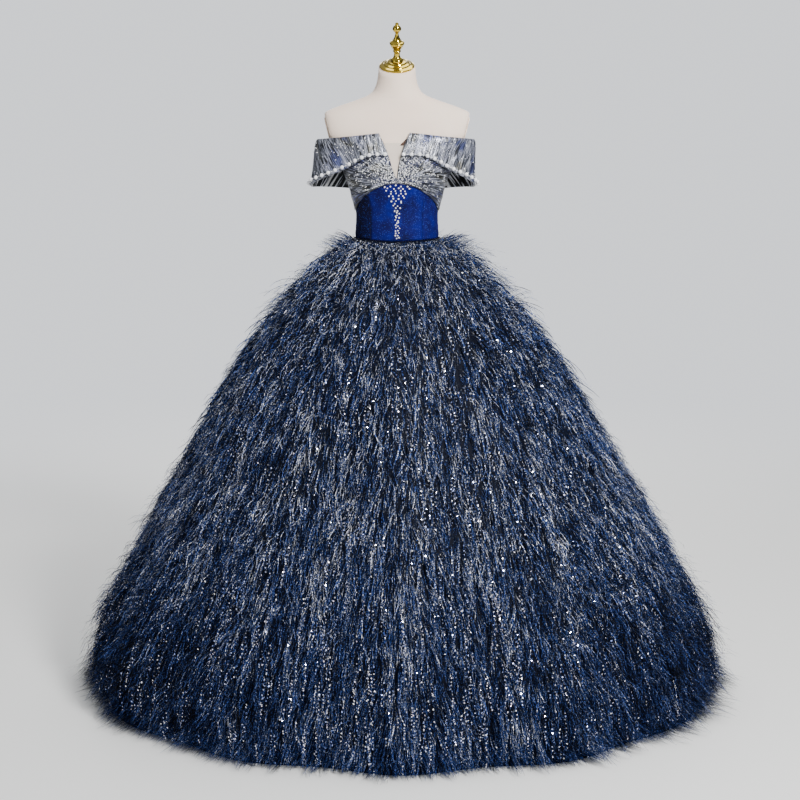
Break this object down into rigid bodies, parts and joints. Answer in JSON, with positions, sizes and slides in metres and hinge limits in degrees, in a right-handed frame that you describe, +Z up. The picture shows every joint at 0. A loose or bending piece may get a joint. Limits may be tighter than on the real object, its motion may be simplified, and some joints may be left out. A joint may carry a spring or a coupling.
{
  "type": "off-the-shoulder ball gown on a dress form",
  "caption": "Full-length gown with a folded off-the-shoulder collar, velvet midriff and full round skirt of long pile, standing on a limbless dress form with a round foot.",
  "frame": {"origin": "on the floor, at the middle of the underside of the stand's round foot", "axes": "+Z up, the gown faces -Y, +X is to the viewer's right when looking at its front"},
  "size_m": [1.7278, 1.6479, 1.7199],
  "materials": {
    "feather_pile": "shaggy metallic feather yarn in blue, navy, taupe and silver, with small sequins",
    "skirt_cloth": "dark matt woven backing",
    "silver_jacquard": "metallic jacquard with streaks of silver, charcoal and blue",
    "blue_velvet": "glitter velvet, royal blue",
    "sheer_mesh": "fine pale illusion mesh",
    "pearl": "pearl lustre",
    "form_linen": "smooth ivory linen-cotton jersey",
    "gilt_brass": "polished gold",
    "stand_metal": "satin black"
  },
  "bodies": {
    "root": {"form_base": "stand_metal", "form_pole": "stand_metal", "form_torso": "form_linen", "form_neck_cap": "gilt_brass", "form_finial": "gilt_brass", "form_arm_plate_left": "form_linen", "form_arm_plate_right": "form_linen", "skirt_front": "skirt_cloth", "skirt_back_right": "skirt_cloth", "skirt_back_left": "skirt_cloth", "pile_tier_1": "feather_pile", "pile_tier_2": "feather_pile", "pile_tier_3": "feather_pile", "pile_tier_4": "feather_pile", "pile_tier_5": "feather_pile", "pile_tier_6": "feather_pile", "midriff_front": "blue_velvet", "midriff_side_left": "blue_velvet", "midriff_side_right": "blue_velvet", "midriff_back_left": "blue_velvet", "midriff_back_right": "blue_velvet", "illusion_inset": "sheer_mesh", "bust_left": "silver_jacquard", "bust_right": "silver_jacquard", "bodice_back_left": "silver_jacquard", "bodice_back_right": "silver_jacquard", "collar_left": "silver_jacquard", "collar_right": "silver_jacquard", "pearl_trim_left": "pearl", "pearl_trim_right": "pearl"}
  },
  "joints": []
}
